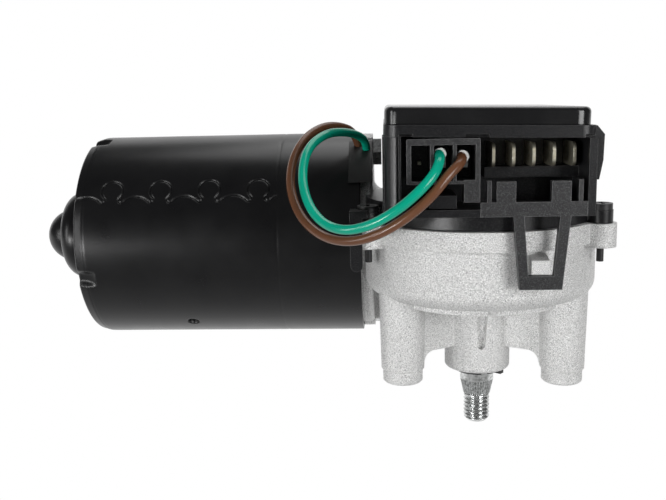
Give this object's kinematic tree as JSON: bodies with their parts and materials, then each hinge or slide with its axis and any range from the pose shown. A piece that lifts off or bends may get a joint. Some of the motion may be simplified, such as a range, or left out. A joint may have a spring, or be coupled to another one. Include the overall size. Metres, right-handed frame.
{
  "type": "wiper motor",
  "caption": "Electric wiper motor: round can motor, worm gearbox with mounting legs and a threaded, knurled output shaft, under a plastic cover with sockets.",
  "frame": {"origin": "on the output shaft's axis, in the plane of the three mounting legs' ends", "axes": "+X along the motor axis from the can to the gearbox, +Y away from the sockets, +Z from the legs to the cover"},
  "size_m": [0.1852, 0.111, 0.0987],
  "materials": {
    "cast_aluminium": "sand-textured die casting",
    "black_enamel": "satin",
    "sintered_bronze": "matt",
    "spring_steel": "satin",
    "ferrite": "matt",
    "zinc_plated_steel": "bright zinc",
    "bearing_steel": "ground",
    "black_steel": "black oxide",
    "white_plastic": "natural",
    "grained_black_plastic": "fine spark-eroded grain",
    "moulded_black_plastic": "as moulded, slightly uneven",
    "smooth_black_plastic": "smooth",
    "brown_laminate": "matt",
    "green_laminate": "solder resist",
    "brass": "satin",
    "tinned_brass": "satin tin",
    "carbon": "matt carbon",
    "copper": "enamelled copper",
    "electrical_steel": "stacked sheet",
    "black_rubber": "matt",
    "green_insulation": "gloss",
    "brown_insulation": "gloss"
  },
  "bodies": {
    "housing": {"gear_housing": "cast_aluminium", "motor_can": "black_enamel", "can_end_cap": "black_enamel", "rear_bush": "sintered_bronze", "rear_bush_retainer": "spring_steel", "rear_thrust_pad": "white_plastic", "magnet_front": "ferrite", "magnet_back": "ferrite", "magnet_clip_top": "spring_steel", "magnet_clip_bottom": "spring_steel", "tie_screws": "zinc_plated_steel", "thrust_screw": "zinc_plated_steel", "thrust_lock_nut": "zinc_plated_steel", "thrust_ball": "bearing_steel", "worm_tail_bush": "sintered_bronze", "bearing_outer_ring": "bearing_steel", "brush_plate": "brown_laminate", "brush_boxes": "brass", "brushes": "carbon", "brush_springs": "spring_steel", "suppression_chokes": "ferrite", "shaft_bush_upper": "sintered_bronze", "shaft_bush_lower": "sintered_bronze", "shaft_seal": "black_rubber", "cover_gasket": "black_rubber", "gear_cover": "moulded_black_plastic", "cover_screws": "black_steel", "cover_lid": "smooth_black_plastic", "connector_frame": "grained_black_plastic", "connector_blades": "tinned_brass", "plug_header_pins": "tinned_brass", "motor_plug": "grained_black_plastic", "plug_terminals": "tinned_brass", "circuit_board": "green_laminate", "relay": "grained_black_plastic", "contact_fingers": "brass", "wire_grommet": "black_rubber", "green_wire": "green_insulation", "brown_wire": "brown_insulation"},
    "armature": {"armature_shaft": "bearing_steel", "lamination_stack": "electrical_steel", "armature_windings": "copper", "commutator_hub": "brown_laminate", "commutator": "copper", "bearing_inner_ring": "bearing_steel"},
    "output": {"output_shaft": "zinc_plated_steel", "worm_wheel": "white_plastic", "drive_plate": "zinc_plated_steel", "contact_disc": "brass", "shaft_circlip": "black_steel", "shaft_thrust_washer": "zinc_plated_steel"},
    "ball_cage": {"bearing_balls": "bearing_steel", "bearing_cage": "white_plastic"}
  },
  "joints": [
    {"name": "armature_spin", "type": "hinge", "parent": "housing", "child": "armature", "pos_m": [-0.035, 0.03, 0.0385], "axis": [1, 0, 0], "continuous": true},
    {"name": "output_spin", "type": "hinge", "parent": "housing", "child": "output", "pos_m": [0, 0, 0.02], "axis": [0, 0, 1], "continuous": true},
    {"name": "bearing_cage_spin", "type": "hinge", "parent": "housing", "child": "ball_cage", "pos_m": [-0.0315, 0.03, 0.0385], "axis": [1, 0, 0], "continuous": true}
  ],
  "couplings": [
    {"joint": "output_spin", "follows": "armature_spin", "ratio": 0.02439},
    {"joint": "bearing_cage_spin", "follows": "armature_spin", "ratio": 0.40909}
  ]
}
